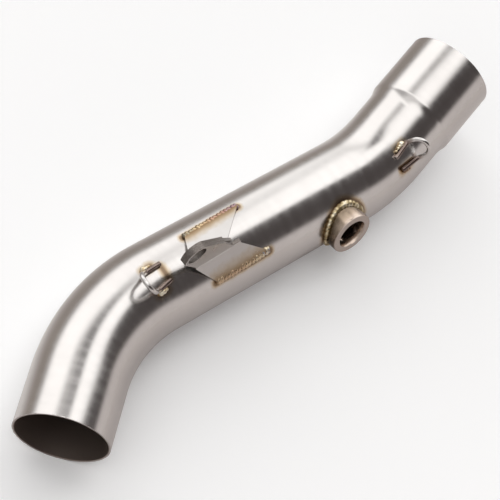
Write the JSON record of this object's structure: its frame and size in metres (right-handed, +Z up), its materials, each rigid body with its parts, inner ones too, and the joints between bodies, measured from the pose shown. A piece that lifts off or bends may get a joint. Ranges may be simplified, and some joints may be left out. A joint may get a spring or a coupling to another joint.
{
  "type": "exhaust link pipe",
  "caption": "Bent stainless exhaust link pipe with a swaged slip-on socket, threaded sensor boss, bolt lug bracket and wire hooks for tension springs.",
  "frame": {"origin": "centre of the plain end's cut face, on the tube's axis", "axes": "-X out of the plain end along its axis, +Z up with the pipe lying at rest on the underside of its plain end, first bend and straight run"},
  "size_m": [0.3029, 0.2062, 0.079],
  "materials": {
    "tube_steel": "brushed stainless steel with a fine linished grain",
    "bung_steel": "turned stainless steel, straw tinted by welding",
    "bracket_steel": "satin stainless steel sheet, tinted beside the welds",
    "wire_steel": "bright drawn stainless wire",
    "weld": "rippled weld bead with gold and bronze heat tint"
  },
  "bodies": {
    "root": {"link_pipe": "tube_steel", "sensor_bung": "bung_steel", "bung_weld": "weld", "bracket_inner_plate": "bracket_steel", "bracket_outer_plate": "bracket_steel", "bracket_inner_weld": "weld", "bracket_outer_weld": "weld", "plain_end_hook": "wire_steel", "plain_end_hook_inner_weld": "weld", "plain_end_hook_outer_weld": "weld", "socket_hook": "wire_steel", "socket_hook_inner_weld": "weld", "socket_hook_outer_weld": "weld"}
  },
  "joints": []
}
